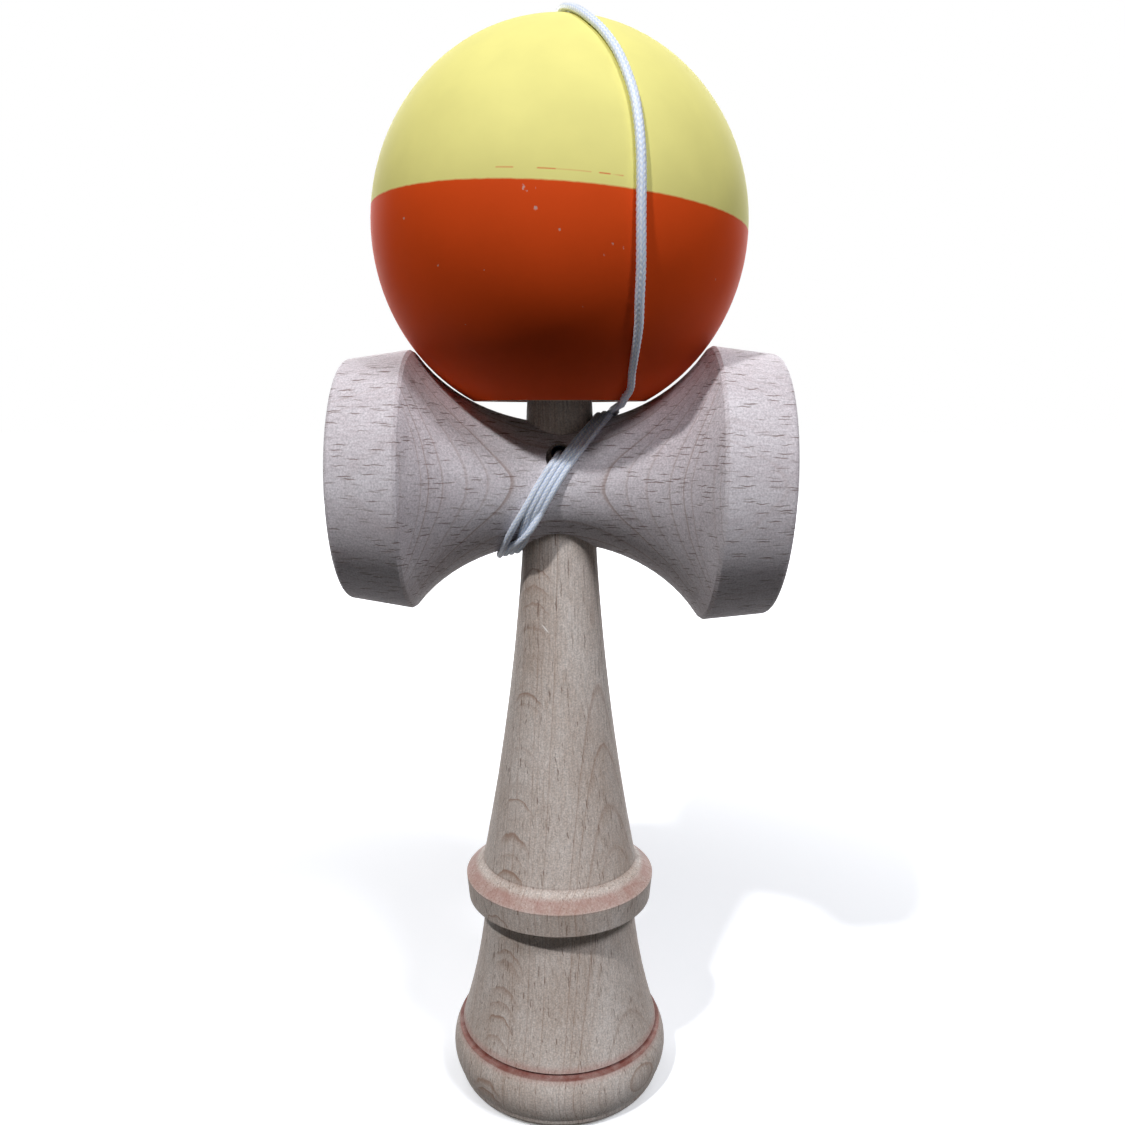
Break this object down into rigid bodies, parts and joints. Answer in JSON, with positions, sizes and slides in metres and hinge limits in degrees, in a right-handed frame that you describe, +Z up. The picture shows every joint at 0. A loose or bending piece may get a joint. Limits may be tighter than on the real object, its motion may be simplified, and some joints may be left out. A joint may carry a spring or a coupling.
{
  "type": "kendama",
  "caption": "Turned wooden cup-and-ball toy: a two-tone ball sits on a spike over a crosspiece with a cup at each end, tied on by a wound string.",
  "frame": {"origin": "centre of the base cup's rim, on the ken's axis, where the toy stands on a table", "axes": "+Z up the ken to the spike, +X along the crosspiece to the big cup, -Y to the front with the string hole"},
  "size_m": [0.0712, 0.0594, 0.1827],
  "materials": {
    "ken_beech": "bare turned beech, matte",
    "sarado_beech": "bare turned beech, matte",
    "ball_paint": "matte paint on wood, yellow above and orange below",
    "bead_wood": "bare turned wood",
    "string_nylon": "white braided nylon"
  },
  "bodies": {
    "ken": {"ken": "ken_beech", "sarado": "sarado_beech", "ken_knot": "string_nylon", "string_winding": "string_nylon"},
    "string_anchor": {"string_bead": "bead_wood", "bead_knot": "string_nylon", "string_over_ball": "string_nylon"},
    "tama": {"tama": "ball_paint"}
  },
  "joints": [
    {"name": "tama_lift", "type": "slide", "parent": "ken", "child": "string_anchor", "axis": [0, 0, 1], "range_m": [0, 0.04], "deforming": ["string_over_ball"]},
    {"name": "tama_spin", "type": "hinge", "parent": "string_anchor", "child": "tama", "pos_m": [0, 0, 0.1515], "axis": [0, 0, 1], "continuous": true}
  ]
}
